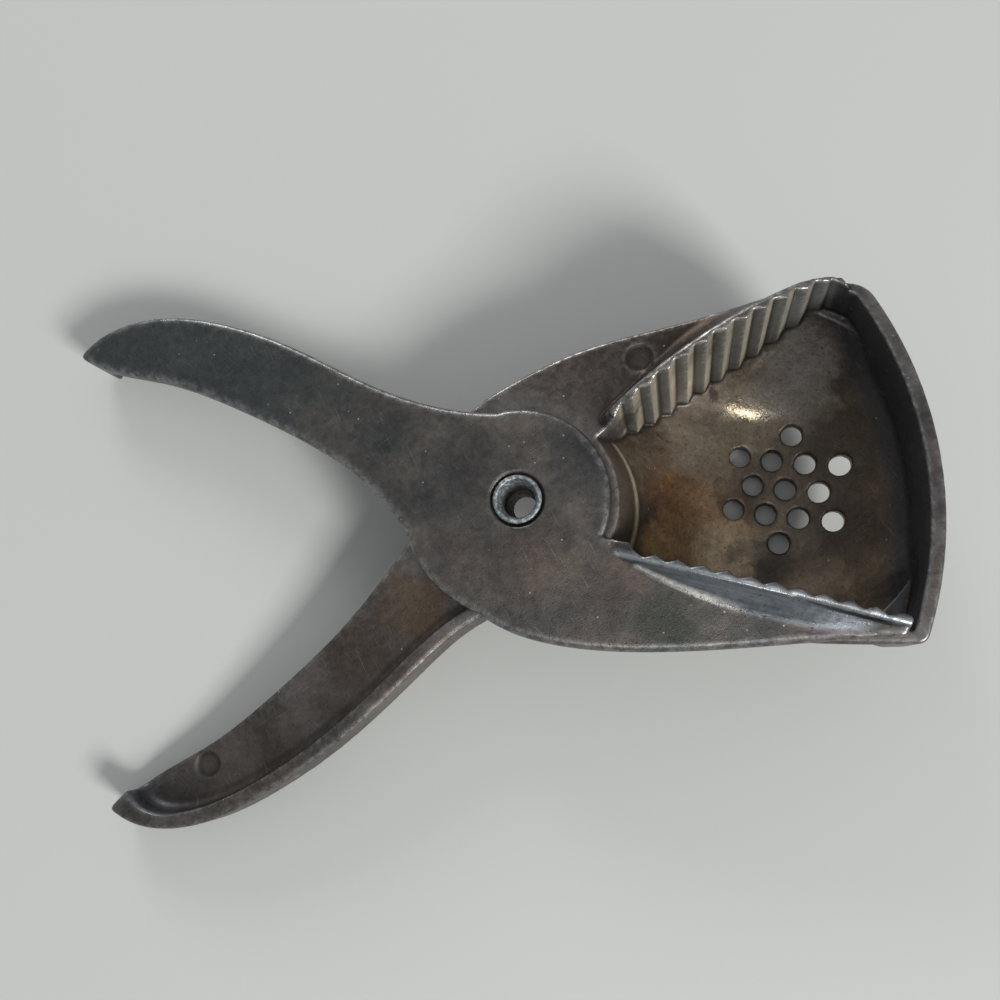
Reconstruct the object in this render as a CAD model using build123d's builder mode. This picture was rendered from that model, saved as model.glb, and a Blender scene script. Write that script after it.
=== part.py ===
from build123d import *
from math import cos, radians, sin, sqrt
import os

# Hand citrus squeezer: two cast aluminium levers crossed on a hollow rivet.
# Frame: the origin lies on the rivet's axis at the underside of the lower lever's web,
# +Z runs up along the rivet, +X runs along the tool's middle line to the squeezing head.
# Lengths are in millimetres and angles in degrees.

os.makedirs("parts", exist_ok=True)

# ---- levels along the rivet ----
web_thickness = 2.6
seat_z = 9.3            # top of the hub, of the head plate and of the lower handle's flange
head_plate_thickness = 3.0
sliding_gap = 0.25
plate_bottom_z = seat_z + sliding_gap
plate_top_z = 12.8
upper_flange_bottom_z = 1.2

# ---- pivot ----
disc_radius = 21.4      # round end of the upper lever's plate about the rivet
heel_radius = 27.2      # round heel of the upper lever below the rivet
hub_radius = 23.4
shank_radius = 4.9
running_bore_radius = 4.96
countersink_radius = 6.6
countersink_depth = 1.6
mouth_radius = 5.7      # flared lip of the rivet in the countersink
mouth_z = 13.3
upper_bore_radius = 3.9
lower_bore_radius = 3.0
bore_step_z = 3.5
foot_head_radius = 7.0
foot_head_height = 1.2
core_inner_radius = 9.0
core_outer_radius = 18.0
core_roof_z = 5.8

# ---- squeezing head ----
head_radius = 92.6      # outside of the curved end wall, about the rivet
head_upper_angle = 23.3     # where the end wall's arc begins and ends
head_lower_angle = -28.7
head_upper_round = 7.0
head_lower_round = 2.6
end_wall_thickness = 3.3
shell_thickness = 2.8
wall_top_radius = 22.9
wall_foot_radius = 26.3     # foot of the hub's conical wall inside the bowl
wall_foot_z = -3.0
bowl_middle_radius = 59.8   # distance from the rivet to the deepest point of the bowl
bowl_floor_z = -25.0
bowl_arc_radius = 36.6      # the floor is this arc turned about the rivet, for the jaw to swing over
bowl_axis_x = 52.0          # the bowl's own upright axis, about which its sides are turned
side_flat_radius = 9.0
side_arc_radius = 38.0
side_floor_z = -26.5
floor_blend_radius = 15.0   # between the floor and the sides
bowl_foot_round = 4.0
corner_floor_z = -4.5       # floor of the far corners, which the moving jaw's tip passes over

# ---- drain holes: a centre hole, a ring of six and six star points ----
drain_hole_radius = 2.6
drain_pitch = 8.1
drain_centre = (63.4, -1.2)
drain_turn = -17.0

# ---- serrated jaws ----
tooth_pitch = 5.0
tooth_depth = 1.3
jaw_top_z = 16.8
jaw_top_width = 2.6
jaw_slope_width = 7.5       # from the crests to the foot of the ridge's outer slope
jaw_wall_thickness = 2.8    # moving jaw below its plate, at its hub end
jaw_tip_thickness = 1.9     # and at its far end
fixed_jaw_ramp = 3.2        # ramps down from each jaw's hub end to its plate
moving_jaw_ramp = 6.0
jaw_clearance = 1.5         # moving jaw to the bowl's floor, end wall and hub
side_gap = 0.8              # moving jaw to the bowl's side wall when fully open
hanging_jaw_z = -14.5       # lowest point of the moving jaw
fixed_jaw_start = (25.0, 15.2)
fixed_jaw_end = (76.6, 37.1)
fixed_jaw_bulge = 2.0
fixed_jaw_crown = 4.0
moving_jaw_start = (24.0, -15.6)
moving_jaw_end = (76.6, -37.5)
moving_jaw_crown = 3.0

# ---- handles: both share one outline, mirrored about the middle line ----
handle_tip = (-107.3, 56.3)
handle_back = [(-101.5, 60.4), (-89.0, 62.7), (-68.8, 57.8)]
handle_inside = [(-102.0, 52.3), (-85.8, 45.5), (-65.2, 34.0), (-48.0, 21.8), (-36.6, 11.4)]
upper_back_root = [(-48.4, 46.3), (-29.3, 32.6), (-15.2, 25.2)]
lower_back_root = [(-51.0, 49.2), (-30.9, 35.7), (-12.9, 25.1)]
flange_width = 3.6
flange_foot_round = 3.0
hub_clearance = 0.7         # upper lever's flange to the hub
edge_round = 1.2            # upper lever's plate
rim_round = 0.8             # lower lever's head plate and handle flange

# ---- marks left by the mould's ejector pins in the lower lever's head plate and web ----
head_mark_place = (32.5, 29.0)
head_mark_radius = 3.4
web_mark_place = (-84.7, -49.3)
web_mark_radius = 3.2
mark_depth = 0.35


def on_circle(radius, angle):
    return (radius * cos(radians(angle)), radius * sin(radians(angle)))


def radial_plane(angle):
    """Upright plane through the rivet's axis: its x runs outwards, its y runs up."""
    c = cos(radians(angle))
    s = sin(radians(angle))
    return Plane(origin=(0, 0, 0), x_dir=(c, s, 0), z_dir=(s, -c, 0))


def bowl_room(wall):
    """Round space of the bowl, grown by wall: no wall gives its inside, the shell's gives its outside."""
    with BuildPart(mode=Mode.PRIVATE) as room:
        with BuildSketch(Plane.XZ):
            with Locations((bowl_middle_radius, bowl_floor_z + bowl_arc_radius)):
                Circle(bowl_arc_radius + wall)
        revolve(axis=Axis.Z)
        with BuildSketch(Plane.XZ):
            with BuildLine():
                floor_z = side_floor_z - wall
                reach = side_arc_radius + wall
                flat = Line((bowl_axis_x, floor_z), (bowl_axis_x + side_flat_radius, floor_z))
                rise = CenterArc((bowl_axis_x + side_flat_radius, floor_z + reach), reach, -90, 90)
                Polyline(rise @ 1, (bowl_axis_x + side_flat_radius + reach, 30), (bowl_axis_x, 30), flat @ 0)
            make_face()
        revolve(axis=Axis((bowl_axis_x, 0, 0), (0, 0, 1)), mode=Mode.INTERSECT)
        seams = room.edges().filter_by(GeomType.BSPLINE).sort_by(Axis.Z)[:2]
        fillet(seams, radius=floor_blend_radius)
    return room.part


class JawLine:
    """Crest line of a row of teeth, from its hub end to its wall end.

    along runs down the chord and outward points away from the squeezing space. bulge is how
    far the middle of the line stands outward of the chord, and crown how far above its ends.
    """

    def __init__(self, start, end, side, bulge, crown):
        chord = Vector(*end) - Vector(*start)
        self.start = Vector(*start)
        self.length = chord.length
        self.along = chord.normalized()
        self.outward = Vector(-self.along.Y, self.along.X) * side
        self.bulge = bulge
        self.crown = crown

    def place(self, distance, offset=0.0):
        """Plan point at a distance down the chord and an offset outward of the crest line."""
        share = 2 * distance / self.length - 1
        out = self.bulge * (1 - share**2) + offset
        return self.start + self.along * distance + self.outward * out

    def teeth(self):
        """Zig-zag with its crests on the line and its grooves one tooth depth outward."""
        count = round(self.length / tooth_pitch)
        pitch = self.length / count
        points = []
        for tooth in range(count):
            points.append(self.place(tooth * pitch))
            points.append(self.place((tooth + 0.5) * pitch, tooth_depth))
        points.append(self.place(self.length))
        return points

    def cross_plane(self):
        """Upright plane across the middle of the jaw: its x runs outward, its y runs up."""
        middle = self.place(self.length / 2)
        return Plane(origin=middle, x_dir=self.outward, z_dir=self.outward.cross(Vector(0, 0, 1)))

    def side_plane(self):
        """Upright plane through the chord: its x runs from the start to the end, its y up."""
        return Plane(origin=self.start, x_dir=self.along, z_dir=self.along.cross(Vector(0, 0, 1)))

    def crown_axis(self):
        """Axis that the jaw's section turns about, which gives both its bulge and its crown."""
        sag = sqrt(self.bulge**2 + self.crown**2)
        radius = (self.length**2 / 4 + sag**2) / (2 * sag)
        rise = (self.outward * self.bulge + Vector(0, 0, self.crown)) * (1 / sag)
        top = self.place(self.length / 2) + Vector(0, 0, jaw_top_z)
        return Axis(top - rise * radius, rise.cross(self.along))


fixed_jaw = JawLine(fixed_jaw_start, fixed_jaw_end, 1, fixed_jaw_bulge, fixed_jaw_crown)
moving_jaw = JawLine(moving_jaw_start, moving_jaw_end, -1, 0.0, moving_jaw_crown)


# ---- plan outlines ----
def handle_plan(back_root, back_end, inside_end):
    """Outline of a handle from its tip to the rivet, on the +Y side."""
    with BuildSketch(mode=Mode.PRIVATE) as plan:
        with BuildLine():
            back = Spline(handle_tip, *handle_back, *back_root, back_end)
            inside = Spline(handle_tip, *handle_inside, inside_end)
            Polyline(back @ 1, (0, 0), inside @ 1)
        make_face()
        fillet(plan.vertices().sort_by(Axis.X)[0], radius=1.0)
    return plan.sketch


def channel_plan(back_root, back_end, inside_end):
    """Outline of the hollow beside a handle's flange, open past the handle's inner edge."""
    with BuildSketch(mode=Mode.PRIVATE) as plan:
        with BuildLine():
            with BuildLine(mode=Mode.PRIVATE):
                back = Spline(handle_tip, *handle_back, *back_root, back_end)
            wall = []
            for share in (0.1, 0.2, 0.35, 0.5, 0.65, 0.8, 0.93):
                inward = (back % share).rotate(Axis.Z, -90)
                wall.append(back @ share + inward * flange_width)
            tip_end = Vector(-103.5, 49.0)
            edge = Spline(tip_end, *wall)
            Polyline(edge @ 1, (-4, 8), (-10, -14), (-30, -14), (-70, 24), tip_end)
        make_face()
    return plan.sketch


with BuildSketch() as head_plan:
    with BuildLine():
        upper_edge = Spline(
            on_circle(hub_radius, 132), (-7.9, 24.4), (4.3, 29.6), (19.3, 33.6),
            (38.4, 35.3), (57.0, 36.8), (76.5, 38.6),
        )
        upper_corner = Line(upper_edge @ 1, on_circle(head_radius, head_upper_angle))
        end_arc = ThreePointArc(
            upper_corner @ 1, (head_radius, 0), on_circle(head_radius, head_lower_angle)
        )
        lower_edge = Spline(end_arc @ 1, (59.7, -41.3), (30.0, -34.6), (6.0, -28.2), (-11.1, -26.0))
        Polyline(lower_edge @ 1, (0, 0), upper_edge @ 0)
    make_face()
    fillet(head_plan.vertices().sort_by_distance(upper_corner @ 1)[0], radius=head_upper_round)
    fillet(head_plan.vertices().sort_by_distance(end_arc @ 1)[0], radius=head_lower_round)
    Circle(hub_radius)

with BuildSketch() as cavity_plan:
    with BuildLine():
        inner_radius = head_radius - end_wall_thickness
        jaw_notch = fixed_jaw.place(fixed_jaw.length + 0.9, 0.3)
        jaw_corner = fixed_jaw.place(fixed_jaw.length + 2.6, -1.8)
        wall_start = on_circle(inner_radius, 22.4)
        side_offset = jaw_wall_thickness + side_gap
        teeth = Polyline(
            fixed_jaw.place(-fixed_jaw_ramp), *fixed_jaw.teeth(), jaw_notch, jaw_corner, wall_start
        )
        end_wall = ThreePointArc(wall_start, (inner_radius, 0), on_circle(inner_radius, -27.8))
        side = Line(end_wall @ 1, moving_jaw.place(-4, side_offset))
        Polyline(side @ 1, (0, 0), teeth @ 0)
    make_face()

with BuildSketch() as pan_plan:
    with BuildLine():
        back_offset = tooth_depth + shell_thickness
        side_offset = jaw_wall_thickness + side_gap + shell_thickness
        behind_jaw = ThreePointArc(
            fixed_jaw.place(-8, back_offset),
            fixed_jaw.place(fixed_jaw.length / 2, back_offset),
            fixed_jaw.place(fixed_jaw.length + 12, back_offset),
        )
        Polyline(
            behind_jaw @ 1, (110, 0), moving_jaw.place(moving_jaw.length + 12, side_offset),
            moving_jaw.place(-12, side_offset), (0, 0), behind_jaw @ 0,
        )
    make_face()

# ---- bowl: its room less the hub, opened to its full plan above the corners' floor ----
with BuildSketch(Plane.XY.offset(-60)) as head_wedge:
    Polygon((0, 0), (60, -80), (110, -80), (110, 80), (60, 80), align=None)

with BuildPart() as cavity:
    add(bowl_room(0))
    with BuildSketch(Plane.XZ):
        Polygon(
            (wall_foot_radius, -60), (inner_radius, -60), (inner_radius, 25), (wall_foot_radius, 25),
            align=None,
        )
    revolve(axis=Axis.Z, mode=Mode.INTERSECT)
    extrude(head_wedge.sketch, amount=100, mode=Mode.INTERSECT)
    end_wall_face = cavity.faces().filter_by(GeomType.CYLINDER).sort_by(SortBy.AREA)[-1]
    fillet(end_wall_face.edges().group_by(Axis.Z)[0], radius=bowl_foot_round)
    with BuildSketch(Plane.XZ):
        Polygon(
            (wall_top_radius, 25), (wall_top_radius, seat_z), (wall_foot_radius, wall_foot_z),
            (wall_foot_radius + 2, corner_floor_z), (inner_radius, corner_floor_z), (inner_radius, 25),
            align=None,
        )
    revolve(axis=Axis.Z)
    with BuildSketch(Plane.XY.offset(-60)):
        add(cavity_plan.sketch)
    extrude(amount=100, mode=Mode.INTERSECT)

pan_top_z = seat_z - head_plate_thickness / 2
with BuildPart() as pan:
    add(bowl_room(shell_thickness))
    with BuildSketch(Plane.XZ):
        Polygon((15, -60), (head_radius, -60), (head_radius, pan_top_z), (15, pan_top_z), align=None)
    revolve(axis=Axis.Z, mode=Mode.INTERSECT)
    extrude(head_wedge.sketch, amount=100, mode=Mode.INTERSECT)
    end_wall_face = pan.faces().filter_by(GeomType.CYLINDER).sort_by(SortBy.AREA)[-1]
    fillet(end_wall_face.edges().group_by(Axis.Z)[0], radius=bowl_foot_round + shell_thickness)
    with BuildSketch(Plane.XZ):
        Polygon(
            (core_outer_radius, pan_top_z), (core_outer_radius, 0), (24, wall_foot_z - shell_thickness),
            (head_radius, corner_floor_z - shell_thickness), (head_radius, pan_top_z), align=None,
        )
    revolve(axis=Axis.Z)
    with BuildSketch(Plane.XY.offset(-60)):
        add(pan_plan.sketch)
    extrude(amount=100, mode=Mode.INTERSECT)
    with BuildSketch(Plane.XY.offset(-60)):
        add(head_plan.sketch)
    extrude(amount=100, mode=Mode.INTERSECT)

# ---- jaw ridges: one section turned about a level axis, so the ridge bows up and out ----
def ridge_section(foot_z):
    """Half-round top, hollow outer slope down to the plate, and a root inside the plate."""
    with BuildSketch(mode=Mode.PRIVATE) as section:
        with BuildLine():
            top = Line((-4, jaw_top_z), (jaw_top_width - 1, jaw_top_z))
            shoulder = RadiusArc(top @ 1, (jaw_top_width, jaw_top_z - 1), 1)
            slope = Spline(shoulder @ 1, (jaw_slope_width, foot_z), tangents=[(0.15, -1), (1, -0.2)])
            root_z = foot_z - 2
            Polyline(slope @ 1, (jaw_slope_width + 2, root_z), (-4, root_z), top @ 0)
        make_face()
    return section.sketch


with BuildPart() as fixed_ridge:
    with BuildSketch(fixed_jaw.cross_plane()):
        add(ridge_section(seat_z))
    revolve(axis=fixed_jaw.crown_axis())
    with BuildSketch(Plane.XY.offset(seat_z - head_plate_thickness)):
        add(head_plan.sketch)
    extrude(amount=30, mode=Mode.INTERSECT)
    with BuildSketch(fixed_jaw.side_plane()):
        with BuildLine():
            end_x = fixed_jaw.length + 3.4
            Polyline(
                (-fixed_jaw_ramp, 0), (end_x, 0), (end_x, 11), (end_x - 3, 30), (3, 30), (-0.5, 12.4),
                (-fixed_jaw_ramp, seat_z), (-fixed_jaw_ramp, 0),
            )
        make_face()
    extrude(amount=30, both=True, mode=Mode.INTERSECT)

# ---- lower lever: handle channel open upwards, hub, head plate, bowl and fixed jaw ----
lower_root = (lower_back_root, (-4.0, 23.5), (-22.0, -4.0))
with BuildPart() as lower_channel:
    with BuildSketch(Plane.XY.offset(web_thickness)):
        add(channel_plan(*lower_root))
        mirror(about=Plane.XZ, mode=Mode.REPLACE)
    extrude(amount=seat_z)
    foot = lower_channel.edges().group_by(Axis.Z)[0].sort_by(SortBy.LENGTH)[-1]
    fillet(foot, radius=flange_foot_round)

with BuildPart() as head_plate:
    with BuildSketch(Plane.XY.offset(seat_z - head_plate_thickness)):
        add(head_plan.sketch)
    extrude(amount=head_plate_thickness)
    rim = head_plate.edges().group_by(Axis.Z)[-1].sort_by(Axis.X)[-6:]
    fillet(rim, radius=rim_round)

with BuildPart() as hub_core:
    with BuildSketch():
        Circle(core_outer_radius)
        Circle(core_inner_radius, mode=Mode.SUBTRACT)
    extrude(amount=core_roof_z)
    fillet(hub_core.edges().group_by(Axis.Z)[-1], radius=1.5)

with BuildPart() as bowl_lever:
    with BuildSketch():
        add(handle_plan(*lower_root))
        mirror(about=Plane.XZ, mode=Mode.REPLACE)
    extrude(amount=seat_z)
    add(lower_channel.part, mode=Mode.SUBTRACT)
    flange_edges = bowl_lever.edges().group_by(Axis.Z)[-1].sort_by(SortBy.LENGTH)[-2:]
    fillet(flange_edges, radius=rim_round)
    with BuildSketch():
        Circle(hub_radius)
    extrude(amount=seat_z)
    add(head_plate.part)
    add(fixed_ridge.part)
    add(pan.part)
    add(cavity.part, mode=Mode.SUBTRACT)
    add(hub_core.part, mode=Mode.SUBTRACT)
    with BuildSketch(Plane.XY.offset(-60)):
        Circle(shank_radius)
    extrude(amount=100, mode=Mode.SUBTRACT)
    with BuildSketch(Plane.XY.offset(-60)):
        with Locations(drain_centre):
            Circle(drain_hole_radius)
            with PolarLocations(drain_pitch, 6, start_angle=drain_turn):
                Circle(drain_hole_radius)
            with PolarLocations(drain_pitch * sqrt(3), 6, start_angle=drain_turn + 30):
                Circle(drain_hole_radius)
    extrude(amount=55, mode=Mode.SUBTRACT)
    with BuildSketch(Plane.XY.offset(seat_z - mark_depth)):
        with Locations(head_mark_place):
            Circle(head_mark_radius)
    extrude(amount=mark_depth, mode=Mode.SUBTRACT)
    with BuildSketch(Plane.XY.offset(web_thickness - mark_depth)):
        with Locations(web_mark_place):
            Circle(web_mark_radius)
    extrude(amount=mark_depth, mode=Mode.SUBTRACT)
bowl_lever.part.label = "bowl_lever"

# ---- upper lever: handle channel open downwards, disc, plate and moving jaw ----
upper_root = (upper_back_root, (-1.9, 21.3), (-26.9, -3.8))
with BuildPart() as upper_channel:
    with BuildSketch(Plane.XY.offset(plate_bottom_z)):
        add(channel_plan(*upper_root))
    extrude(amount=-plate_bottom_z)
    foot = upper_channel.edges().group_by(Axis.Z)[-1].sort_by(SortBy.LENGTH)[-1]
    fillet(foot, radius=flange_foot_round)

with BuildPart() as upper_flange:
    with BuildSketch(Plane.XY.offset(upper_flange_bottom_z)):
        add(handle_plan(*upper_root))
    extrude(amount=plate_bottom_z - upper_flange_bottom_z)
    add(upper_channel.part, mode=Mode.SUBTRACT)
    with BuildSketch():
        with BuildLine():
            hub_side = ThreePointArc(
                on_circle(hub_radius + hub_clearance, -150),
                on_circle(hub_radius + hub_clearance, 170),
                on_circle(hub_radius + hub_clearance, 136),
            )
            head_side = Line(hub_side @ 1, (-10.5, 32))
            Polyline(head_side @ 1, (20, 32), (20, -20), hub_side @ 0)
        make_face()
    extrude(amount=20, mode=Mode.SUBTRACT)

with BuildSketch() as upper_plan:
    add(handle_plan(*upper_root))
    Circle(disc_radius)
    with BuildLine():
        jaw_edge = Polyline(
            (0, 0), moving_jaw.place(-moving_jaw_ramp, -tooth_depth),
            moving_jaw.place(moving_jaw.length + 2.8, -tooth_depth),
        )
        tip = Line(jaw_edge @ 1, moving_jaw.place(moving_jaw.length + 2.2, 4.6))
        lower = Spline(
            tip @ 1, (51.2, -40.6), (21.9, -37.9), (4.8, -34.1), (-7.0, -28.8), on_circle(heel_radius, -118)
        )
        heel = ThreePointArc(lower @ 1, on_circle(heel_radius, -145), on_circle(heel_radius, -172))
        Line(heel @ 1, (0, 0))
    make_face()
    fillet(upper_plan.vertices().sort_by_distance(tip @ 1)[0], radius=1.6)

with BuildPart() as hanging_jaw:
    with BuildSketch():
        Polygon(
            moving_jaw.place(0, -tooth_depth), moving_jaw.place(moving_jaw.length + 2.8, -tooth_depth),
            moving_jaw.place(moving_jaw.length + 2.2, jaw_tip_thickness),
            moving_jaw.place(0, jaw_wall_thickness), align=None,
        )
    extrude(amount=40, both=True)
    with BuildSketch(radial_plane(0)):
        with BuildLine():
            foot_z = wall_foot_z + jaw_clearance
            near = wall_foot_radius + jaw_clearance
            far = head_radius - 6
            tip_rise = far - 4.5
            belly = ThreePointArc((near, foot_z), ((near + tip_rise) / 2, hanging_jaw_z), (tip_rise, foot_z))
            Polyline(belly @ 1, (far, foot_z), (far, plate_bottom_z + 1), (near, plate_bottom_z + 1), belly @ 0)
        make_face()
    revolve(axis=Axis.Z, mode=Mode.INTERSECT)

with BuildPart() as moving_ridge:
    with BuildSketch(moving_jaw.cross_plane()):
        add(ridge_section(plate_top_z))
    revolve(axis=moving_jaw.crown_axis())
    with BuildSketch(Plane.XY.offset(plate_bottom_z + 1)):
        add(upper_plan.sketch)
    extrude(amount=30, mode=Mode.INTERSECT)
    with BuildSketch(moving_jaw.side_plane()):
        with BuildLine():
            far_x = moving_jaw.length + 10
            Polyline(
                (-moving_jaw_ramp, 0), (far_x, 0), (far_x, 30), (3, 30),
                (-moving_jaw_ramp, plate_top_z), (-moving_jaw_ramp, 0),
            )
        make_face()
    extrude(amount=30, both=True, mode=Mode.INTERSECT)

with BuildPart() as jaw_lever:
    with BuildSketch(Plane.XY.offset(plate_bottom_z)):
        add(upper_plan.sketch)
    extrude(amount=plate_top_z - plate_bottom_z)
    fillet(jaw_lever.edges().group_by(Axis.Z)[-1], radius=edge_round)
    add(upper_flange.part)
    add(hanging_jaw.part)
    add(moving_ridge.part)
    with BuildSketch(Plane.XY.offset(-60)):
        with BuildLine():
            Polyline(
                moving_jaw.place(-4, -6), *moving_jaw.teeth(), moving_jaw.place(moving_jaw.length + 1.6),
                moving_jaw.place(moving_jaw.length + 6, 3), moving_jaw.place(moving_jaw.length + 6, -6),
                moving_jaw.place(-4, -6),
            )
        make_face()
    extrude(amount=100, mode=Mode.SUBTRACT)
    with Locations((0, 0, plate_top_z)):
        CounterSinkHole(
            radius=running_bore_radius, counter_sink_radius=countersink_radius, depth=20
        )
jaw_lever.part.label = "jaw_lever"

# ---- rivet: tube with a flat head below and a lip flared into the countersink above ----
with BuildPart() as pivot_rivet:
    with BuildSketch(Plane.XZ):
        with BuildLine():
            lip_foot = (shank_radius, plate_top_z - countersink_depth)
            outside = Polyline(
                (lower_bore_radius + 0.6, -foot_head_height), (foot_head_radius - 0.8, -foot_head_height),
            )
            RadiusArc(outside @ 1, (foot_head_radius, -foot_head_height + 0.8), -0.8)
            shank = Polyline(
                (foot_head_radius, -foot_head_height + 0.8), (foot_head_radius, 0), (shank_radius, 0), lip_foot,
            )
            lip = Spline(shank @ 1, (mouth_radius, mouth_z - 0.5), tangents=[(0, 1), (0.4, 1)])
            roll = ThreePointArc(lip @ 1, (mouth_radius - 0.5, mouth_z), (mouth_radius - 1.1, mouth_z - 0.45))
            throat = Spline(
                roll @ 1, (upper_bore_radius, plate_top_z - 2.4), tangents=[(-0.4, -1), (0, -1)]
            )
            Polyline(
                throat @ 1, (upper_bore_radius, bore_step_z + 0.5), (lower_bore_radius, bore_step_z),
                (lower_bore_radius, -foot_head_height + 0.6), outside @ 0,
            )
        make_face()
    revolve(axis=Axis.Z)
pivot_rivet.part.label = "pivot_rivet"

for piece in (bowl_lever, jaw_lever, pivot_rivet):
    export_step(piece.part, f"parts/{piece.part.label}.step")
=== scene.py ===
import math

import bpy
import numpy as np
from mathutils import Matrix, Vector, kdtree


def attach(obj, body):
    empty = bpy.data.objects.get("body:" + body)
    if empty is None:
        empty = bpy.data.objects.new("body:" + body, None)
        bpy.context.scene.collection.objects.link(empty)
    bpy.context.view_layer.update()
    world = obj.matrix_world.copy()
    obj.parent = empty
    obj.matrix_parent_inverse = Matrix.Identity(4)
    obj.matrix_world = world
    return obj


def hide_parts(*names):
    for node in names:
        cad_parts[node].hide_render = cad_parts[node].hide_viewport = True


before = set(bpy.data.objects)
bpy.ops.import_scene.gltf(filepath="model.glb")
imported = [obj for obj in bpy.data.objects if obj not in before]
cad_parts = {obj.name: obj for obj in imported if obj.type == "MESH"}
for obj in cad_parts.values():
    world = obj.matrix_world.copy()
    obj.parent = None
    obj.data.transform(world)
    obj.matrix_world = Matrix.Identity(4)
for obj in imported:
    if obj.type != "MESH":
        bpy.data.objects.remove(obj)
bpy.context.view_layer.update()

# ---- camera ----
# The tool is seen from above, from between its rivet and its head and a little towards the
# moving jaw, with the handles to the left and the head to the right.
MM = 0.001
scene = bpy.context.scene
camera_place = Vector((30.2, -46.1, 228.0)) * MM
camera_right = Vector((0.974, -0.133, -0.1833)).normalized()
camera_ahead = Vector((-0.1532, 0.2091, -0.9658)).normalized()
camera_up = camera_right.cross(camera_ahead)
camera_data = bpy.data.cameras.new("camera")
camera_data.lens = 35.1
camera_data.sensor_width = 36.0
camera_data.clip_start = 0.01
camera = bpy.data.objects.new("camera", camera_data)
camera_turn = Matrix((camera_right, camera_up, -camera_ahead)).transposed()
camera.matrix_world = Matrix.Translation(camera_place) @ camera_turn.to_4x4()
scene.collection.objects.link(camera)
scene.camera = camera


# ---- table and lights ----
# The tool rests on the underside of its bowl, and its handle tips end within 2 mm of the white
# painted board under it, so in the tool's own frame the board leans down towards the bowl.
def srgb(code):
    """Linear red, green, blue and alpha of an sRGB hex colour."""
    parts = [int(code[i : i + 2], 16) / 255 for i in (0, 2, 4)]
    linear = [c / 12.92 if c <= 0.04045 else ((c + 0.055) / 1.055) ** 2.4 for c in parts]
    return (*linear, 1.0)


floor_lean = math.radians(9.7)
floor_place = np.array([-106, 0, -0.6]) * MM  # a point of the board midway between the tips
floor_half = 1.5  # half the board's side, in metres
corners = np.array([(-1, -1, 0), (1, -1, 0), (1, 1, 0), (-1, 1, 0)]) * floor_half
corners = corners @ np.array(Matrix.Rotation(floor_lean, 3, "Y")).T + floor_place
floor_mesh = bpy.data.meshes.new("floor")
floor_mesh.from_pydata(corners.tolist(), [], [(0, 1, 2, 3)])
floor = bpy.data.objects.new("floor", floor_mesh)
scene.collection.objects.link(floor)
board = bpy.data.materials.new("painted_board")
board.use_nodes = True
paint = board.node_tree.nodes["Principled BSDF"].inputs
paint["Base Color"].default_value = srgb("BFC0BB")
paint["Roughness"].default_value = 0.75
floor_mesh.materials.append(board)

world = bpy.data.worlds.new("room")
world.use_nodes = True
room_light = world.node_tree.nodes["Background"].inputs
room_light["Color"].default_value = (0.86, 0.9, 0.95, 1)
room_light["Strength"].default_value = 0.44
scene.world = world


def area_light(name, azimuth, height, distance, size, power):
    """A square soft light at an azimuth and height angle from the tool, facing it."""
    data = bpy.data.lights.new(name, "AREA")
    data.size = size
    data.energy = power
    light = bpy.data.objects.new(name, data)
    a, h = math.radians(azimuth), math.radians(height)
    place = Vector((math.cos(h) * math.cos(a), math.cos(h) * math.sin(a), math.sin(h))) * distance
    facing = place.to_track_quat("Z", "Y").to_matrix().to_4x4()
    light.matrix_world = Matrix.Translation(place) @ facing
    scene.collection.objects.link(light)
    return light


# A wide window stands low beyond the moving jaw's tip, and a weaker one on the fixed jaw's side.
# A small lamp nearly overhead gives gloss alone, because its diffuse light would fall through
# the drain holes and spot the board.
area_light("window", -47, 30, 2.0, 0.55, 38.0)
lamp = area_light("lamp", -76, 76, 1.0, 0.12, 1.5)
lamp.visible_diffuse = False
area_light("far_window", 100, 28, 1.5, 0.5, 6.5)

scene.view_settings.view_transform = "Standard"


# ---- bowl lever: lower handle, hub, head plate, bowl and fixed jaw ----
# One die casting in aluminium alloy. Lemon juice has stained the bowl brown and gold, and the
# handle's channel holds grime. The rims and the teeth's crests are lighter, partly from rubbing
# and partly as a painted highlight, and inside the bowl some light and shade are painted in.
def rows(items, key, width, kind):
    """One property of a mesh's points or edges as an array, with a row for each of them."""
    values = np.empty(len(items) * width, kind)
    items.foreach_get(key, values)
    return values.reshape(-1, width)


def finished_mesh(thing):
    """A new mesh of an object as its modifiers leave it."""
    finished = thing.evaluated_get(bpy.context.evaluated_depsgraph_get())
    return bpy.data.meshes.new_from_object(finished)


def neighbour_mean(points, edges):
    """Mean of the points joined to each point by an edge, summed by bincount for each axis."""
    count = len(points)
    joined = np.bincount(edges.ravel(), minlength=count)[:, None]
    total = np.empty_like(points)
    for axis in range(3):
        total[:, axis] = np.bincount(edges[:, 0], points[edges[:, 1], axis], count)
        total[:, axis] += np.bincount(edges[:, 1], points[edges[:, 0], axis], count)
    return total / np.maximum(joined, 1)


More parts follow.
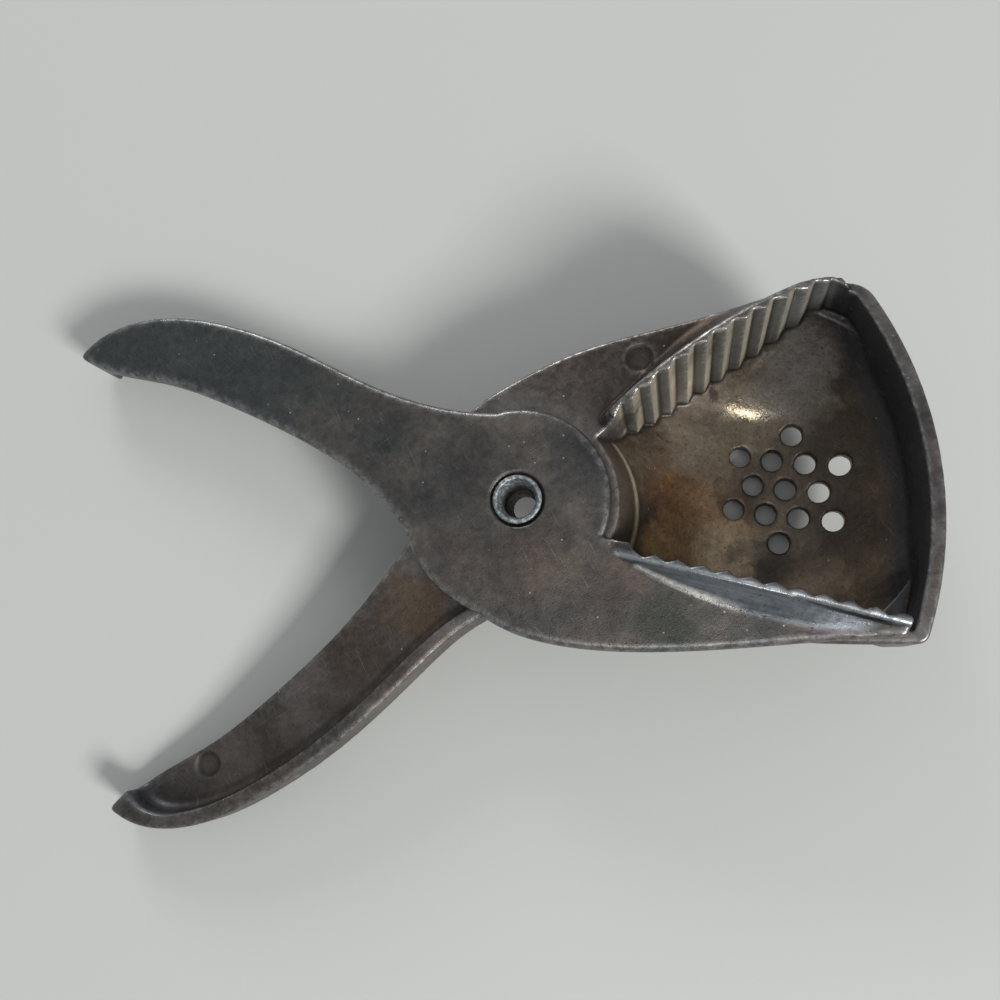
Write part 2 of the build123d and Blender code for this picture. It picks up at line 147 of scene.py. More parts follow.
def cast_skin(node_name, skin_name, voxel, most_faces, add_form=None):
    """The solid's mesh, welded, rebuilt on a fine even grid, given its added form, softened as a
    mould leaves its edges by moving each point twice halfway to its neighbours' mean, and
    thinned to most_faces triangles. A point's edge value is how far it stands outside the mean
    of its wider surroundings, its corner value how far inside, and its inside value how squarely
    it faces the bowl's middle. Each is 0 to 1, and is read from the nearest unthinned point."""
    soft_steps, wide_steps = 2, 8
    full_standing = 0.1 * MM
    bowl_middle = np.array([60, 0, 14]) * MM
    least_facing, facing_range = 0.12, 0.25

    skin = bpy.data.objects.new(skin_name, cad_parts[node_name].data.copy())
    scene.collection.objects.link(skin)
    weld = skin.modifiers.new("weld", "WELD")
    weld.merge_threshold = 0.002 * MM
    grid = skin.modifiers.new("grid", "REMESH")
    grid.mode = "VOXEL"
    grid.voxel_size = voxel
    dense = finished_mesh(skin)
    points = rows(dense.vertices, "co", 3, np.float32).astype(np.float64)
    edges = rows(dense.edges, "vertices", 2, np.int32)
    if add_form:
        points = add_form(points)
    for _ in range(soft_steps):
        points += 0.5 * (neighbour_mean(points, edges) - points)
    dense.vertices.foreach_set("co", points.ravel().astype(np.float32))
    dense.update()

    normals = rows(dense.vertices, "normal", 3, np.float32)
    wide = points.copy()
    for _ in range(wide_steps):
        wide += 0.5 * (neighbour_mean(wide, edges) - wide)
    standing = ((points - wide) * normals).sum(axis=1) / full_standing
    inward = bowl_middle - points
    inward /= np.linalg.norm(inward, axis=1)[:, None]
    facing = ((inward * normals).sum(axis=1) - least_facing) / facing_range

    skin.modifiers.clear()
    skin.data = dense
    faces = sum(len(face.vertices) - 2 for face in dense.polygons)
    thin = skin.modifiers.new("thin", "DECIMATE")
    thin.ratio = min(1.0, most_faces / faces)
    thin.use_collapse_triangulate = True
    thinned = finished_mesh(skin)
    skin.modifiers.clear()
    skin.data = thinned
    thinned.name = skin_name

    tree = kdtree.KDTree(len(points))
    for index, point in enumerate(points.tolist()):
        tree.insert(point, index)
    tree.balance()
    nearest = np.array([tree.find(vertex.co)[1] for vertex in thinned.vertices])
    for attribute, values in (("edge", standing), ("corner", -standing), ("inside", facing)):
        made = thinned.attributes.new(attribute, "FLOAT", "POINT")
        made.data.foreach_set("value", np.clip(values[nearest], 0, 1).astype(np.float32))
    thinned.shade_smooth()
    return skin


skin_faces = 190000  # the most triangles a skin is thinned to; just under the most that the STL file of a piece keeps
bowl_skin = cast_skin("bowl_lever", "bowl_casting_skin", 0.42 * MM, skin_faces)
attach(bowl_skin, "bowl_side")
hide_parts("bowl_lever")


def node(tree, kind, links=None, stops=None, **settings):
    """Adds a shader node with its properties or input values, its links and its colour stops."""
    made = tree.nodes.new(kind)
    sockets = {socket.identifier: socket for socket in made.inputs}
    for key, value in settings.items():
        if hasattr(made, key):
            setattr(made, key, value)
        else:
            sockets[key if key in sockets else key.replace("_", " ")].default_value = value
    for key, source in (links or {}).items():
        if hasattr(source, "outputs"):
            source = next(socket for socket in source.outputs if socket.enabled)
        tree.links.new(source, sockets[key])
    if stops:
        ramp = made.color_ramp
        for place, code in stops[1:-1]:
            ramp.elements.new(place)
        for element, (place, code) in zip(ramp.elements, stops):
            element.position = place
            element.color = srgb(code)
    return made


def dull_aluminium(name, stops):
    """Die-cast aluminium alloy left to tarnish: its cast skin is dull and blotched in patches of
    a centimetre or two. Gives the material, the place in mm, that place stirred by a few mm, and
    the blotched colour."""
    material = bpy.data.materials.new(name)
    material.use_nodes = True
    tree = material.node_tree
    place = node(tree, "ShaderNodeTexCoord").outputs["Object"]
    mm = node(tree, "ShaderNodeVectorMath", {"Vector": place}, operation="SCALE", Scale=1000.0)
    stir = node(tree, "ShaderNodeTexNoise", {"Vector": mm}, Scale=1 / 7, Detail=5.0, Roughness=0.6)
    shift = node(
        tree, "ShaderNodeVectorMath", {"Vector": stir.outputs[1]}, operation="SUBTRACT",
        Vector_001=(0.5, 0.5, 0.5),
    )
    stirred = node(
        tree, "ShaderNodeVectorMath", {"Vector": shift, "Vector_002": mm},
        operation="MULTIPLY_ADD", Vector_001=(14.0, 14.0, 14.0),
    )
    blotch = node(
        tree, "ShaderNodeTexNoise", {"Vector": mm}, Scale=1 / 15, Detail=6.0, Roughness=0.6
    )
    colour = node(tree, "ShaderNodeValToRGB", {"Fac": blotch}, stops=stops)
    return material, mm, stirred, colour


def stain(tree, stirred, colour, spots):
    """Lays ragged round spots over a colour: each is a middle in mm, a radius, a colour and how
    strongly it covers."""
    for middle, radius, code, strength in spots:
        away = node(
            tree, "ShaderNodeVectorMath", {"Vector": stirred}, operation="DISTANCE",
            Vector_001=middle,
        )
        cover = node(
            tree, "ShaderNodeMapRange", {"Value": away}, interpolation_type="SMOOTHSTEP",
            From_Min=radius * 0.45, From_Max=radius * 1.25, To_Min=strength, To_Max=0.0,
        )
        colour = node(
            tree, "ShaderNodeMix", {"Factor_Float": cover, "A_Color": colour}, data_type="RGBA",
            B_Color=srgb(code),
        )
    return colour


def worn_finish_and_edge_highlight(material, mm, colour, metal, rough, rub_and_highlight, bare, pit_and_corner_dark):
    """Ends a casting's material with what use has done to it: edges lightened towards bare metal,
    partly by wear and partly as a painted highlight, darker corners, thin scratches, white nicks
    and the fine pitted grain of the cast skin."""
    tree = material.node_tree
    edge = node(tree, "ShaderNodeAttribute", attribute_name="edge").outputs["Fac"]
    corner = node(tree, "ShaderNodeAttribute", attribute_name="corner").outputs["Fac"]

    # Patches under 2 mm wide vary the shade, and rubbing bites most in the lighter ones.
    patchy = node(
        tree, "ShaderNodeTexNoise", {"Vector": mm}, Scale=1 / 1.7, Detail=5.0, Roughness=0.65
    )
    shade = node(
        tree, "ShaderNodeMapRange", {"Value": patchy}, From_Min=0.3, From_Max=0.7, To_Min=0.86,
        To_Max=1.14,
    )
    colour = node(
        tree, "ShaderNodeVectorMath", {"Vector": colour, "Scale": shade}, operation="SCALE"
    )
    bitten = node(
        tree, "ShaderNodeMapRange", {"Value": patchy}, From_Min=0.42, From_Max=0.6, To_Min=0.25,
        To_Max=1.0,
    )
    # Edges are lightened towards bare metal: partly wear, partly a painted highlight.
    rubbed_and_highlit = node(tree, "ShaderNodeMath", {"Value": edge, "Value_001": bitten}, operation="MULTIPLY")
    rubbed_and_highlit = node(tree, "ShaderNodeMath", {"Value": rubbed_and_highlit, "Value_001": rub_and_highlight}, operation="MULTIPLY")
    colour = node(
        tree, "ShaderNodeMix", {"Factor_Float": rubbed_and_highlit, "A_Color": colour}, data_type="RGBA",
        B_Color=srgb(bare),
    )
    # The corners are darker, towards the same colour as the pits.
    corner_darkening = node(
        tree, "ShaderNodeMapRange", {"Value": corner}, From_Min=0.1, From_Max=0.8, To_Max=0.85
    )
    colour = node(
        tree, "ShaderNodeMix", {"Factor_Float": corner_darkening, "A_Color": colour}, data_type="RGBA",
        B_Color=srgb(pit_and_corner_dark),
    )

    # Scratches a few millimetres long run in three directions.
    for turn, length, width in ((0.5, 7.0, 0.16), (-0.9, 5.0, 0.13), (1.9, 9.0, 0.2)):
        along = node(
            tree, "ShaderNodeMapping", {"Vector": mm}, vector_type="TEXTURE",
            Rotation=(0.0, 0.0, turn), Scale=(length, width, length),
        )
        streak = node(
            tree, "ShaderNodeTexNoise", {"Vector": along}, Scale=1.0, Detail=1.0, Roughness=0.4
        )
        scratch = node(
            tree, "ShaderNodeMapRange", {"Value": streak}, From_Min=0.74, From_Max=0.8, To_Max=0.4
        )
        colour = node(
            tree, "ShaderNodeMix", {"Factor_Float": scratch, "A_Color": colour}, data_type="RGBA",
            B_Color=srgb(bare),
        )

    # Some cells of 2.6 mm hold a white nick, and about half of those of 1.1 mm a grimy pit.
    cell = node(tree, "ShaderNodeTexVoronoi", {"Vector": mm}, Scale=1 / 2.6)
    chosen = node(
        tree, "ShaderNodeMapRange", {"Value": cell.outputs["Color"]}, From_Min=0.66, From_Max=0.7
    )
    dot = node(
        tree, "ShaderNodeMapRange", {"Value": cell}, From_Min=0.05, From_Max=0.1, To_Min=1.0,
        To_Max=0.0,
    )
    nick = node(tree, "ShaderNodeMath", {"Value": dot, "Value_001": chosen}, operation="MULTIPLY")
    colour = node(
        tree, "ShaderNodeMix", {"Factor_Float": nick, "A_Color": colour}, data_type="RGBA",
        B_Color=srgb("A9A8A4"),
    )
    pore = node(tree, "ShaderNodeTexVoronoi", {"Vector": mm}, Scale=1 / 1.1)
    pit = node(
        tree, "ShaderNodeMapRange", {"Value": pore}, From_Min=0.06, From_Max=0.24, To_Min=0.6,
        To_Max=0.0,
    )
    few = node(
        tree, "ShaderNodeMapRange", {"Value": pore.outputs["Color"]}, From_Min=0.4, From_Max=0.5
    )
    pitted = node(tree, "ShaderNodeMath", {"Value": pit, "Value_001": few}, operation="MULTIPLY")
    colour = node(
        tree, "ShaderNodeMix", {"Factor_Float": pitted, "A_Color": colour}, data_type="RGBA",
        B_Color=srgb(pit_and_corner_dark),
    )

    # The relief is a grain of half a millimetre on a swell of 5 mm, with the pits sunk in it.
    grain = node(
        tree, "ShaderNodeTexNoise", {"Vector": mm}, Scale=1 / 0.45, Detail=3.0, Roughness=0.6
    )
    swell = node(tree, "ShaderNodeTexNoise", {"Vector": mm}, Scale=1 / 5, Detail=2.0, Roughness=0.5)
    height = node(
        tree, "ShaderNodeMath", {"Value": swell, "Value_002": grain}, operation="MULTIPLY_ADD",
        Value_001=3.0,
    )
    height = node(tree, "ShaderNodeMath", {"Value": height, "Value_001": pitted}, operation="SUBTRACT")
    relief = node(tree, "ShaderNodeBump", {"Height": height}, Strength=0.7, Distance=0.06 * MM)
    uneven = node(
        tree, "ShaderNodeMapRange", {"Value": patchy}, From_Min=0.3, From_Max=0.7, To_Min=-0.07,
        To_Max=0.08,
    )
    dullness = node(tree, "ShaderNodeMath", {"Value": uneven, "Value_001": rough}, operation="ADD")
    dullness = node(tree, "ShaderNodeMix", {"Factor_Float": rubbed_and_highlit, "A_Float": dullness}, B_Float=0.24)
    shader = tree.nodes["Principled BSDF"]
    tree.links.new(colour.outputs[2], shader.inputs["Base Color"])
    tree.links.new(dullness.outputs[0], shader.inputs["Roughness"])
    tree.links.new(relief.outputs[0], shader.inputs["Normal"])
    tree.links.new(metal.outputs[0], shader.inputs["Metallic"])


# The outside is a mid warm grey, blotched darker and browner.
warm_greys = [(0.28, "3B3736"), (0.42, "4F4A47"), (0.52, "5E5955"), (0.62, "696461"), (0.75, "7A7673")]
bowl_casting, mm, stirred, grey = dull_aluminium("bowl_casting", warm_greys)
tree = bowl_casting.node_tree
bowl_skin.data.materials.clear()
bowl_skin.data.materials.append(bowl_casting)

# Inside the bowl the tarnish is golden brown, darker where pulp has stood and drained.
browns = [(0.0, "3A3027"), (0.36, "51453A"), (0.5, "65584A"), (0.64, "766A5A"), (1.0, "8C8170")]
cloud = node(tree, "ShaderNodeTexNoise", {"Vector": stirred}, Scale=1 / 13, Detail=6.0, Roughness=0.6)
inside_colour = node(tree, "ShaderNodeValToRGB", {"Fac": cloud}, stops=browns)
# Some of these spots are painted light. The golden ones by the hub are partly real stain and partly
# lightened to paint light where the moving jaw shades the floor. The pale ones at (42, 14), (50, 9) and
# (70, 22), on the side that faces the window, and the one in the far corner at (74, 30) are painted
# light; the spots at (57, 19) by the jaw's foot and at (77, 17) are painted highlights; the dark ones
# at (78, 8) and (76, -14) at the far end are painted shade.
juice_stains_and_painted_light = [
    ((42, -10, -20), 14, "B08F69", 0.8), ((45, -16, -22), 9, "C9B394", 0.75),
    ((31, -12, -11), 8, "C39D72", 0.85), ((36, 0, -16), 11, "87603F", 0.62),
    ((35, 3, -14), 3, "8E5B32", 0.4), ((57, 19, -25), 10, "8F8470", 0.75),
    ((42, 14, -21), 9, "8C806F", 0.7), ((77, 17, -19), 4, "A0967C", 0.6),
    ((50, 9, -24), 6, "8C7D68", 0.6), ((50, -3, -24), 6, "3C3128", 0.6),
    ((78, 8, -20), 13, "3E352D", 0.7), ((76, -14, -20), 12, "463C33", 0.6),
    ((57, -18, -23), 6, "322A24", 0.75), ((50, -15, -24), 4, "322A24", 0.6),
    ((74, 30, -14), 10, "A09B96", 0.75), ((70, 22, -21), 10, "968F86", 0.55),
    ((50, 27, -21), 2.2, "3A1A10", 0.85), ((63, 31, -17), 2.6, "A29C9A", 0.6),
    ((35, 16, -18), 1.4, "3A1A10", 0.7),
]
inside_colour = stain(tree, stirred, inside_colour, juice_stains_and_painted_light)

# Fine dark specks and a clouding of a few mm lie over all of it.
mottle = node(tree, "ShaderNodeTexNoise", {"Vector": stirred}, Scale=1 / 2.4, Detail=5.0, Roughness=0.7)
mottle = node(
    tree, "ShaderNodeMapRange", {"Value": mottle}, From_Min=0.35, From_Max=0.65, To_Min=0.76,
    To_Max=1.2,
)
inside_colour = node(tree, "ShaderNodeVectorMath", {"Vector": inside_colour, "Scale": mottle}, operation="SCALE")
speck = node(tree, "ShaderNodeTexNoise", {"Vector": mm}, Scale=1 / 0.75, Detail=4.0, Roughness=0.7)
speck = node(tree, "ShaderNodeMapRange", {"Value": speck}, From_Min=0.57, From_Max=0.66, To_Max=0.6)
inside_colour = node(
    tree, "ShaderNodeMix", {"Factor_Float": speck, "A_Color": inside_colour}, data_type="RGBA",
    B_Color=srgb("33271D"),
)

# The hub's wall is plainer and greyer, and ends above the floor in a crease painted bright as a
# highlight.
inside = node(tree, "ShaderNodeAttribute", attribute_name="inside").outputs["Fac"]
flat = node(
    tree, "ShaderNodeVectorMath", {"Vector": mm}, operation="MULTIPLY", Vector_001=(1.0, 1.0, 0.0)
)
reach = node(tree, "ShaderNodeVectorMath", {"Vector": flat}, operation="LENGTH")
at_hub = node(
    tree, "ShaderNodeMapRange", {"Value": reach}, From_Min=25.6, From_Max=26.2, To_Min=0.75,
    To_Max=0.0,
)
inside_colour = node(
    tree, "ShaderNodeMix", {"Factor_Float": at_hub, "A_Color": inside_colour}, data_type="RGBA",
    B_Color=srgb("544B43"),
)
crease_reach = 26.35
off_crease = node(
    tree, "ShaderNodeMath", {"Value": reach}, operation="SUBTRACT", Value_001=crease_reach
)
off_crease = node(tree, "ShaderNodeMath", {"Value": off_crease}, operation="ABSOLUTE")
# Painted highlight: a bright line along the crease.
crease_highlight = node(
    tree, "ShaderNodeMapRange", {"Value": off_crease}, From_Min=0.12, From_Max=0.5, To_Min=1.0,
    To_Max=0.0,
)
crease_highlight = node(tree, "ShaderNodeMath", {"Value": crease_highlight, "Value_001": inside}, operation="MULTIPLY")
inside_colour = node(
    tree, "ShaderNodeMix", {"Factor_Float": crease_highlight, "A_Color": inside_colour}, data_type="RGBA",
    B_Color=srgb("C9BD9F"),
)

# The end wall is painted a cold dark grey as painted shade, and darker still, as more painted
# shade, where it meets the two jaws.
wall_shade = node(tree, "ShaderNodeMapRange", {"Value": reach}, From_Min=83.5, From_Max=87.5)
inside_colour = node(
    tree, "ShaderNodeMix", {"Factor_Float": wall_shade, "A_Color": inside_colour}, data_type="RGBA",
    B_Color=srgb("43454A"),
)
wall_end_shade = [((83, 33, -4), 4, "3A3A3B", 0.7), ((84, -30, -5), 8, "2A2A2C", 0.85)]
inside_colour = stain(tree, stirred, inside_colour, wall_end_shade)

# The teeth's broad faces are plain grey, and the narrow ones, which face the window and the bowl's
# end, are painted pale beige as painted light. Their hub end is darkened as painted shade, and
# their far end is lighter grey.
fixed_jaw_out = (-0.39, 0.921, 0.0)
outward = node(
    tree, "ShaderNodeVectorMath", {"Vector": mm}, operation="DOT_PRODUCT", Vector_001=fixed_jaw_out
)
near_teeth = node(tree, "ShaderNodeMapRange", {"Value": outward}, From_Min=2.6, From_Max=3.6)
normal = tree.nodes["Texture Coordinate"].outputs["Normal"]
steep = node(
    tree, "ShaderNodeVectorMath", {"Vector": normal}, operation="DOT_PRODUCT",
    Vector_001=(0.0, 0.0, 1.0),
)
steep = node(
    tree, "ShaderNodeMapRange", {"Value": steep}, From_Min=0.3, From_Max=0.55, To_Min=1.0,
    To_Max=0.0,
)
at_teeth = node(
    tree, "ShaderNodeMath", {"Value": near_teeth, "Value_001": steep}, operation="MULTIPLY"
)
# Painted light: the faces turned towards the window are painted pale beige.
toward_window = node(
    tree, "ShaderNodeVectorMath", {"Vector": normal}, operation="DOT_PRODUCT",
    Vector_001=(0.82, -0.57, 0.0),
)
lit_faces = node(tree, "ShaderNodeMapRange", {"Value": toward_window}, From_Min=0.82, From_Max=0.94)
clear_of_hub = node(tree, "ShaderNodeMapRange", {"Value": reach}, From_Min=29.0, From_Max=31.0)
lit_faces = node(
    tree, "ShaderNodeMath", {"Value": lit_faces, "Value_001": clear_of_hub}, operation="MULTIPLY"
)
teeth = node(
    tree, "ShaderNodeMix", {"Factor_Float": lit_faces}, data_type="RGBA", A_Color=srgb("62625E"),
    B_Color=srgb("B7AD97"),
)
# Painted shade darkens the hub end of the teeth, and their far end is lighter grey.
teeth = stain(tree, stirred, teeth, [((25, 15, 1), 8, "3B3935", 0.8), ((79, 36, 4), 15, "808281", 0.5)])
inside_colour = node(
    tree, "ShaderNodeMix", {"Factor_Float": at_teeth, "A_Color": inside_colour, "B_Color": teeth},
    data_type="RGBA",
)
colour = node(
    tree, "ShaderNodeMix", {"Factor_Float": inside, "A_Color": grey, "B_Color": inside_colour},
    data_type="RGBA",
)

# The channel of the handle is browner with grime. The plate behind the fixed jaw is browner and
# darker, partly brown tarnish and partly painted shade from the jaw.
brown_patches_and_painted_shade = [
    ((-30, -18, 2), 10, "615040", 0.7), ((-45, -31, 2), 13, "4B4036", 0.6),
    ((-75, -47, 2), 20, "4C433D", 0.5), ((45, 35, 9), 10, "423529", 0.75),
    ((19, 31, 9), 13, "443A32", 0.7), ((35, 31, 9), 9, "3D352E", 0.6),
]
colour = stain(tree, stirred, colour, brown_patches_and_painted_shade)

# Fruit has polished the floor by the jaw's foot; elsewhere inside, tarnish half hides the metal.
off_polish = node(
    tree, "ShaderNodeVectorMath", {"Vector": stirred}, operation="DISTANCE",
    Vector_001=(57.0, 20.0, -25.0),
)
polished = node(
    tree, "ShaderNodeMapRange", {"Value": off_polish}, From_Min=3.0, From_Max=12.0, To_Min=1.0,
    To_Max=0.0,
)
tarnished = node(tree, "ShaderNodeMapRange", {"Value": inside}, To_Min=0.85, To_Max=0.45)
metal = node(
    tree, "ShaderNodeMath", {"Value": polished, "Value_001": tarnished}, operation="MAXIMUM"
)
polished = node(
    tree, "ShaderNodeMath", {"Value": polished, "Value_001": crease_highlight}, operation="MAXIMUM"
)
rough = node(tree, "ShaderNodeMapRange", {"Value": polished}, To_Min=0.4, To_Max=0.18)

# The rim and the handle are rubbed a little lighter, the teeth's crests most, and the floor not at
# all; the lighter edges are partly a painted highlight.
height = node(tree, "ShaderNodeSeparateXYZ", {"Vector": mm})
rub_and_highlight = node(
    tree, "ShaderNodeMapRange", {"Value": height.outputs["Z"]}, From_Min=0.0, From_Max=3.0,
    To_Max=0.35,
)
rub_and_highlight = node(
    tree, "ShaderNodeMath", {"Value": near_teeth, "Value_002": rub_and_highlight}, operation="MULTIPLY_ADD",
    Value_001=0.5,
)
worn_finish_and_edge_highlight(bowl_casting, mm, colour, metal, rough, rub_and_highlight, "A5A29C", "2A241F")


# ---- jaw lever: upper handle, disc over the hub, plate and moving jaw ----
# The second casting, of the same alloy. Palms and fingers keep it greyer and smoother, bluish
# on the handle, and the jaw's ridge is polished lightest of all, with painted highlights along
# its crest and along the foot of its slope.
plate_top = 12.8
ridge_start = (24.0, -15.6, plate_top)
ridge_along = (0.923, -0.384, 0.0)
ridge_out = (-0.384, -0.923, 0.0)


def ridge_slope(points):
    """Carries the hollow outer slope of the ridge on towards the hub: across the ridge the
    height over the plate falls as the square of the share of the way left to the slope's foot,
    and along it the height rises to the middle and falls again as a parabola. Known fault: off
    the slope each point is compared with z = 0, so the part of the jaw that hangs under z = 0
    is lifted to it."""
    # In mm: along the ridge from its end at the hub, out from its teeth, or over the plate.
    half_length, crown, crown_drop = 28.5, 4.0, 3.0
    widest_foot, foot_narrowing, narrow_to = 8.4, 4.4, 24
    crest_out, slope_start = 2.4, 1.3
    first, rise_over, last, fall_over = 0.5, 4, 54, 20
    band_below, least_rise = 0.4, 0.02

    offset = points / MM - np.array(ridge_start)
    along = offset @ np.array(ridge_along)
    out = offset @ np.array(ridge_out)
    middle = (along - half_length) / half_length
    foot = widest_foot - foot_narrowing * np.clip(1 - along / narrow_to, 0, 1) ** 1.6
    left = np.clip((foot - out) / (foot - crest_out), 0, 1)
    ends = np.clip((along - first) / rise_over, 0, 1) ** 0.5
    ends *= np.clip((last - along) / fall_over, 0, 1)
    rise = (crown - crown_drop * middle**2) * left**2 * ends
    on_slope = (offset[:, 2] > -band_below) & (out > slope_start) & (rise > least_rise)
    raised = np.where(on_slope, plate_top + rise, 0) * MM
    points[:, 2] = np.maximum(points[:, 2], raised)
    return points


jaw_skin = cast_skin("jaw_lever", "jaw_casting_skin", 0.36 * MM, skin_faces, ridge_slope)
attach(jaw_skin, "jaw_side")
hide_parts("jaw_lever")

handled_greys = [(0.28, "3F3F3F"), (0.42, "4D4C4A"), (0.5, "585450"), (0.6, "676059"), (0.75, "77706A")]
jaw_casting, mm, stirred, colour = dull_aluminium("jaw_casting", handled_greys)
tree = jaw_casting.node_tree
jaw_skin.data.materials.clear()
jaw_skin.data.materials.append(jaw_casting)
place = node(tree, "ShaderNodeSeparateXYZ", {"Vector": mm})
on_handle = node(
    tree, "ShaderNodeMapRange", {"Value": place.outputs["X"]}, From_Min=-28.0, From_Max=-60.0,
    To_Max=0.88,
)
colour = node(
    tree, "ShaderNodeMix", {"Factor_Float": on_handle, "A_Color": colour}, data_type="RGBA",
    B_Color=srgb("474C4C"),
)
plate_patches = [
    ((2, -14, 13), 11, "62554E", 0.5), ((-14, -12, 13), 8, "5E524C", 0.4),
    ((20, -22, 13), 9, "60544D", 0.5), ((29, -33, 13), 9, "3E413B", 0.75),
    ((13, -28, 13), 9, "4A4643", 0.6), ((-8, 8, 13), 9, "4E4A48", 0.5),
    ((62, -41, 13), 7, "5E5054", 0.7),
]
colour = stain(tree, stirred, colour, plate_patches)

# Across the ridge, from its teeth to the foot of its outer slope, satin blue-grey lies outside a
# bright line along the crest, which is a painted highlight.
brushed = node(
    tree, "ShaderNodeMapping", {"Vector": mm}, vector_type="TEXTURE", Rotation=(0.0, 0.0, -0.39),
    Scale=(14.0, 0.7, 14.0),
)
brushed = node(tree, "ShaderNodeTexNoise", {"Vector": brushed}, Scale=1.0, Detail=3.0, Roughness=0.6)
brushed = node(
    tree, "ShaderNodeMapRange", {"Value": brushed}, From_Min=0.3, From_Max=0.7, To_Min=0.72,
    To_Max=1.25,
)
on_ridge = node(
    tree, "ShaderNodeMapRange", {"Value": place.outputs["Z"]}, From_Min=12.82, From_Max=13.0
)
across = node(
    tree, "ShaderNodeVectorMath", {"Vector": mm}, operation="DOT_PRODUCT", Vector_001=ridge_out
)
share = node(tree, "ShaderNodeMapRange", {"Value": across}, From_Min=4.0, From_Max=13.0)
satin_stops_and_crest_highlight = [
    (0.0, "403D3A"), (0.17, "4B4946"), (0.26, "6E7377"), (0.33, "B8BBBB"), (0.4, "6C7176"),
    (0.6, "81868A"), (1.0, "6E7377"),
]
satin_and_crest_highlight = node(tree, "ShaderNodeValToRGB", {"Fac": share}, stops=satin_stops_and_crest_highlight)
satin_and_crest_highlight = node(tree, "ShaderNodeVectorMath", {"Vector": satin_and_crest_highlight, "Scale": brushed}, operation="SCALE")
colour = node(
    tree, "ShaderNodeMix", {"Factor_Float": on_ridge, "A_Color": colour, "B_Color": satin_and_crest_highlight},
    data_type="RGBA",
)

# A painted highlight lies along the foot of the slope over its half nearer the hub: a pale colour,
# less metallic so that the window lights it.
along = node(
    tree, "ShaderNodeVectorMath", {"Vector": mm}, operation="DOT_PRODUCT", Vector_001=ridge_along
)
low = node(
    tree, "ShaderNodeMapRange", {"Value": place.outputs["Z"]}, From_Min=13.1, From_Max=13.6,
    To_Min=1.0, To_Max=0.0,
)
near = node(
    tree, "ShaderNodeMapRange", {"Value": along}, From_Min=45.0, From_Max=55.0, To_Min=1.0,
    To_Max=0.0,
)
outer = node(tree, "ShaderNodeMapRange", {"Value": across}, From_Min=8.0, From_Max=8.8)
flecks = node(tree, "ShaderNodeTexNoise", {"Vector": mm}, Scale=1 / 0.9, Detail=4.0, Roughness=0.7)
flecks = node(
    tree, "ShaderNodeMapRange", {"Value": flecks}, From_Min=0.36, From_Max=0.54, To_Min=0.5,
    To_Max=1.0,
)
glint = on_ridge
for part in (low, near, outer, flecks):
    glint = node(tree, "ShaderNodeMath", {"Value": glint, "Value_001": part}, operation="MULTIPLY")
colour = node(
    tree, "ShaderNodeMix", {"Factor_Float": glint, "A_Color": colour}, data_type="RGBA",
    B_Color=srgb("F2EEE2"),
)
metal = node(tree, "ShaderNodeMapRange", {"Value": on_ridge}, To_Min=0.85, To_Max=0.95)
metal = node(tree, "ShaderNodeMix", {"Factor_Float": glint, "A_Float": metal}, B_Float=0.35)
rough = node(tree, "ShaderNodeMapRange", {"Value": on_ridge}, To_Min=0.38, To_Max=0.3)
rough = node(tree, "ShaderNodeMix", {"Factor_Float": glint, "A_Float": rough}, B_Float=0.2)

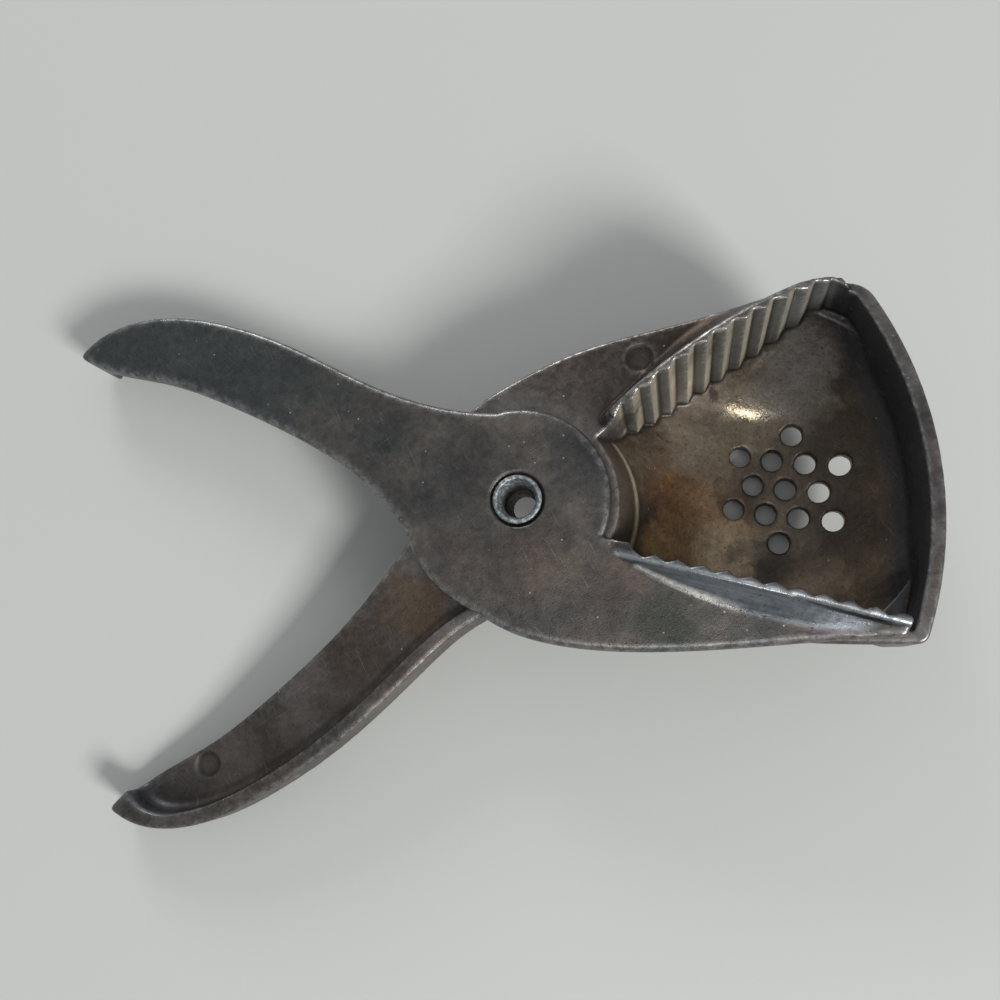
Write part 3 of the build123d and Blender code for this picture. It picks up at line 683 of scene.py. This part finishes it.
# Its toothed crest and the rivet's hole are left rough, and every other edge is rubbed lighter,
# partly as a painted highlight.
crest = node(
    tree, "ShaderNodeMapRange", {"Value": across}, From_Min=6.0, From_Max=7.0, To_Min=0.85,
    To_Max=0.0,
)
crest = node(tree, "ShaderNodeMath", {"Value": crest, "Value_001": on_ridge}, operation="MULTIPLY")
rough = node(tree, "ShaderNodeMix", {"Factor_Float": crest, "A_Float": rough}, B_Float=0.55)
rub_and_highlight = node(tree, "ShaderNodeMapRange", {"Value": crest}, To_Min=1.0, To_Max=0.0)
flat = node(
    tree, "ShaderNodeVectorMath", {"Vector": mm}, operation="MULTIPLY", Vector_001=(1.0, 1.0, 0.0)
)
reach = node(tree, "ShaderNodeVectorMath", {"Vector": flat}, operation="LENGTH")
off_rivet = node(
    tree, "ShaderNodeMapRange", {"Value": reach}, From_Min=8.0, From_Max=10.0, To_Min=0.2,
    To_Max=1.0,
)
rub_and_highlight = node(tree, "ShaderNodeMath", {"Value": rub_and_highlight, "Value_001": off_rivet}, operation="MULTIPLY")
worn_finish_and_edge_highlight(jaw_casting, mm, colour, metal, rough, rub_and_highlight, "9A9A98", "2C2723")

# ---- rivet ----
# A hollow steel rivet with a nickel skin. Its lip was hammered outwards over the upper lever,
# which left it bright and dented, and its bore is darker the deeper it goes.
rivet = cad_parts["pivot_rivet"]
nickel = bpy.data.materials.new("nickel_plated_steel")
nickel.use_nodes = True
tree = nickel.node_tree
place = node(tree, "ShaderNodeTexCoord").outputs["Object"]
mm = node(tree, "ShaderNodeVectorMath", {"Vector": place}, operation="SCALE", Scale=1000.0)
height = node(tree, "ShaderNodeSeparateXYZ", {"Vector": mm}).outputs["Z"]
dents = node(tree, "ShaderNodeTexNoise", {"Vector": mm}, Scale=1 / 0.9, Detail=4.0, Roughness=0.6)
silvers = [(0.34, "686D6E"), (0.5, "858B8D"), (0.66, "B4B9BA")]
silver = node(tree, "ShaderNodeValToRGB", {"Fac": dents}, stops=silvers)
# The bore is darker the deeper it goes.
sunk = node(
    tree, "ShaderNodeMapRange", {"Value": height}, From_Min=11.0, From_Max=7.0, To_Max=0.85
)
silver = node(
    tree, "ShaderNodeMix", {"Factor_Float": sunk, "A_Color": silver}, data_type="RGBA",
    B_Color=srgb("4A443D"),
)
relief = node(tree, "ShaderNodeBump", {"Height": dents}, Strength=0.9, Distance=0.25 * MM)
battered = node(
    tree, "ShaderNodeMapRange", {"Value": height}, From_Min=16.6, From_Max=15.6, To_Min=0.34,
    To_Max=0.6,
)
shader = tree.nodes["Principled BSDF"]
shader.inputs["Metallic"].default_value = 0.95
tree.links.new(battered.outputs[0], shader.inputs["Roughness"])
tree.links.new(silver.outputs[2], shader.inputs["Base Color"])
tree.links.new(relief.outputs[0], shader.inputs["Normal"])
rivet.data.materials.clear()
rivet.data.materials.append(nickel)
